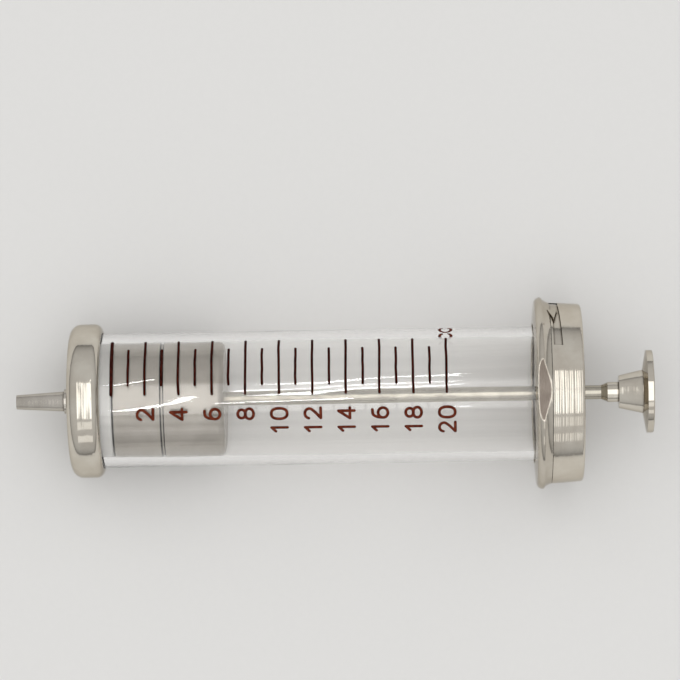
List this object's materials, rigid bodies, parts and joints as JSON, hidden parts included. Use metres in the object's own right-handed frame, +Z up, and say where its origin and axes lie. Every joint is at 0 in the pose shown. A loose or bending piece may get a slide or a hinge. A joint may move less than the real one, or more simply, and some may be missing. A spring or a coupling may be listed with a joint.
{
  "type": "record syringe",
  "caption": "Reusable glass and metal syringe lying on its side: graduated barrel, metal piston on a thin rod, finger flange, bayonet cap and needle cone.",
  "frame": {"origin": "on the table, under the middle of the syringe's length, as it lies on its front cap and on the lower flat of its flange", "axes": "+X along the syringe towards the thumb knob, +Z up from the table, +Y to the side that the scale's lines start from"},
  "size_m": [0.1146, 0.0344, 0.0327],
  "materials": {
    "nickel": "bright nickel plating with fine polishing marks",
    "piston_metal": "nickel plating, ground to fit the bore, satin",
    "rod_steel": "polished",
    "glass": "clear, with printed scale",
    "seal": "smooth light grey",
    "cement": "matt"
  },
  "bodies": {
    "barrel": {"glass_barrel": "glass", "front_cap": "nickel", "nozzle": "nickel", "front_seal": "seal", "collar": "nickel", "rear_cement": "cement"},
    "piston": {"piston_front": "piston_metal", "piston_rear": "piston_metal", "rod_retainer": "piston_metal"},
    "plunger_rod": {"piston_rod": "rod_steel", "thumb_knob": "nickel"},
    "cap": {"closure_cap": "nickel"}
  },
  "joints": [
    {"name": "piston_slide", "type": "slide", "parent": "barrel", "child": "piston", "axis": [0.9995, 0, 0.0308], "range_m": [0, 0.0632]},
    {"name": "plunger_turn", "type": "hinge", "parent": "piston", "child": "plunger_rod", "pos_m": [0.00273, 0, 0.01527], "axis": [0.9995, 0, 0.0308], "continuous": true},
    {"name": "cap_twist", "type": "hinge", "parent": "barrel", "child": "cap", "pos_m": [0.04071, 0, 0.01644], "axis": [0.9995, 0, 0.0308], "range_deg": [0, 30]}
  ]
}
